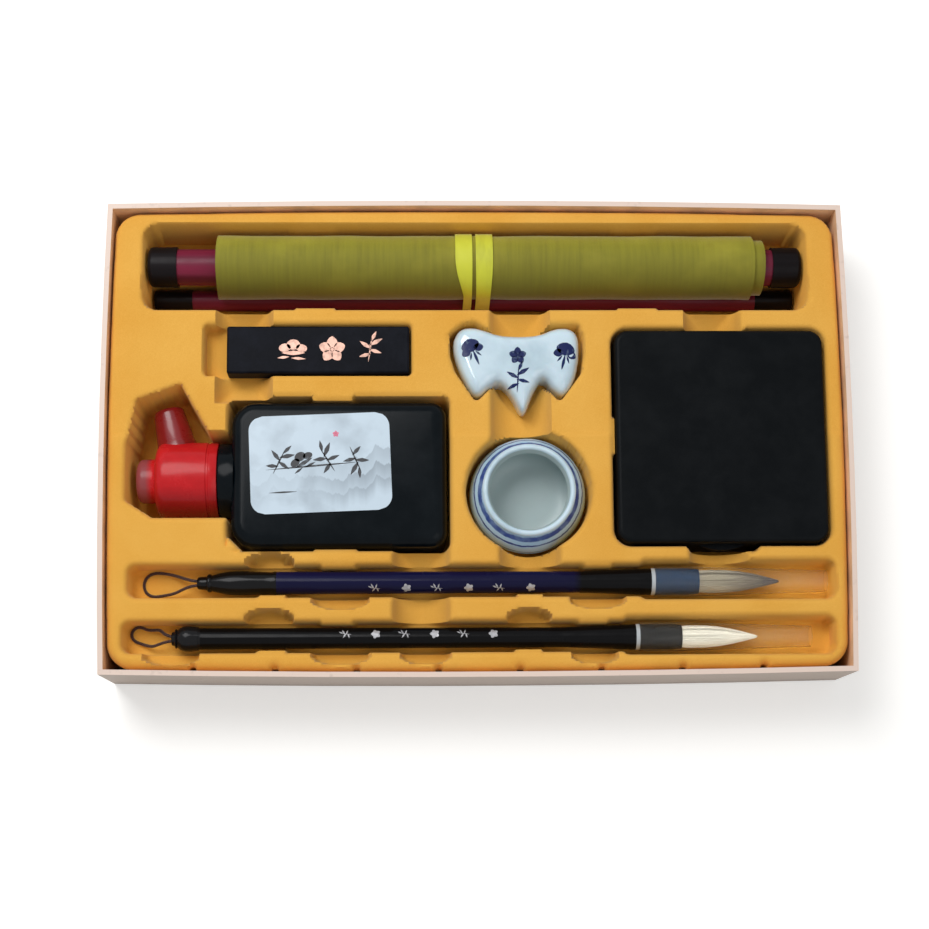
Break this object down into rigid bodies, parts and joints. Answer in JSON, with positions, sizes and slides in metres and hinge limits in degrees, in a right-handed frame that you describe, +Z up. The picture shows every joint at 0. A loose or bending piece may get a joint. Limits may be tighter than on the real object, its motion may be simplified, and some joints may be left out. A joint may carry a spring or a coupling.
{
  "type": "calligraphy set box",
  "caption": "Open card box with a formed tray holding a rolled scroll, ink stick, brush rest, water cup, ink bottle, cased inkstone and two sleeved writing brushes.",
  "frame": {"origin": "middle of the box's underside, on the surface it stands on", "axes": "+X along the box's long side, towards the brushes' hair; +Y towards the box's rear, where the scroll lies; +Z up"},
  "size_m": [0.3684, 0.2378, 0.0483],
  "materials": {
    "cover_paper": "matte",
    "greyboard": "matte",
    "lining_paper": "matte",
    "flocked_sheet": "flocked",
    "scroll_silk": "woven",
    "plum_lacquer": "lacquered",
    "black_lacquer": "lacquered",
    "tie_ribbon": "satin",
    "ink_stick": "satin",
    "porcelain": "glossy",
    "bottle_plastic": "glossy",
    "plug_plastic": "matte",
    "label_paper": "satin",
    "cap_plastic": "glossy",
    "case_plastic": "satin",
    "slab_stone": "honed",
    "hanging_cord": "matte",
    "navy_lacquer": "lacquered",
    "white_ring": "glossy",
    "grey_hair": "soft",
    "white_hair": "soft",
    "clear_plastic": "clear"
  },
  "bodies": {
    "box": {"base_sheet": "cover_paper", "floor_board": "greyboard", "front_wall": "greyboard", "rear_wall": "greyboard", "left_wall": "greyboard", "right_wall": "greyboard", "box_wrap": "cover_paper", "box_lining": "lining_paper"},
    "insert": {"insert_tray": "flocked_sheet"},
    "scroll": {"scroll_sheet": "scroll_silk", "roller_rod": "plum_lacquer", "roller_cap_left": "black_lacquer", "roller_cap_right": "black_lacquer", "hanger_rod": "plum_lacquer", "hanger_cap_left": "black_lacquer", "hanger_cap_right": "black_lacquer", "ribbon_left": "tie_ribbon", "ribbon_right": "tie_ribbon"},
    "ink_stick": {"ink_stick": "ink_stick"},
    "brush_rest": {"brush_rest": "porcelain"},
    "water_cup": {"water_cup": "porcelain"},
    "bottle": {"bottle_body": "bottle_plastic", "bottle_plug": "plug_plastic", "bottle_label": "label_paper"},
    "bottle_cap": {"cap_body": "cap_plastic", "cap_spout": "cap_plastic"},
    "inkstone": {"inkstone_case": "case_plastic", "inkstone_slab": "slab_stone"},
    "inkstone_lid": {"inkstone_lid": "case_plastic"},
    "large_brush": {"large_brush_tail": "black_lacquer", "large_brush_loop": "hanging_cord", "large_brush_shaft": "navy_lacquer", "large_brush_ring": "white_ring", "large_brush_ferrule": "black_lacquer", "large_brush_hair": "grey_hair"},
    "large_sleeve": {"large_brush_sleeve": "clear_plastic"},
    "small_brush": {"small_brush_tail": "black_lacquer", "small_brush_loop": "hanging_cord", "small_brush_shaft": "black_lacquer", "small_brush_ring": "white_ring", "small_brush_ferrule": "black_lacquer", "small_brush_hair": "white_hair"},
    "small_sleeve": {"small_brush_sleeve": "clear_plastic"}
  },
  "joints": [
    {"name": "insert_lift", "type": "slide", "parent": "box", "child": "insert", "axis": [0, 0, 1], "range_m": [0, 0.06]},
    {"name": "scroll_lift", "type": "slide", "parent": "insert", "child": "scroll", "axis": [0, 0, 1], "range_m": [0, 0.05]},
    {"name": "ink_stick_lift", "type": "slide", "parent": "insert", "child": "ink_stick", "axis": [0, 0, 1], "range_m": [0, 0.05]},
    {"name": "brush_rest_lift", "type": "slide", "parent": "insert", "child": "brush_rest", "axis": [0, 0, 1], "range_m": [0, 0.05]},
    {"name": "water_cup_lift", "type": "slide", "parent": "insert", "child": "water_cup", "axis": [0, 0, 1], "range_m": [0, 0.05]},
    {"name": "bottle_lift", "type": "slide", "parent": "insert", "child": "bottle", "axis": [0, 0, 1], "range_m": [0, 0.05]},
    {"name": "inkstone_lift", "type": "slide", "parent": "insert", "child": "inkstone", "axis": [0, 0, 1], "range_m": [0, 0.05]},
    {"name": "large_brush_lift", "type": "slide", "parent": "insert", "child": "large_brush", "axis": [0, 0, 1], "range_m": [0, 0.05]},
    {"name": "small_brush_lift", "type": "slide", "parent": "insert", "child": "small_brush", "axis": [0, 0, 1], "range_m": [0, 0.05]},
    {"name": "bottle_cap_turn", "type": "hinge", "parent": "bottle", "child": "bottle_cap", "pos_m": [-0.1405, -0.0189, 0.0268], "axis": [1, 0, 0], "range_deg": [0, 100]},
    {"name": "inkstone_lid_lift", "type": "slide", "parent": "inkstone", "child": "inkstone_lid", "axis": [0, 0, 1], "range_m": [0, 0.04]},
    {"name": "large_sleeve_slide", "type": "slide", "parent": "large_brush", "child": "large_sleeve", "axis": [1, 0, 0], "range_m": [0, 0.0027]},
    {"name": "small_sleeve_slide", "type": "slide", "parent": "small_brush", "child": "small_sleeve", "axis": [1, 0, 0], "range_m": [0, 0.0099]}
  ]
}
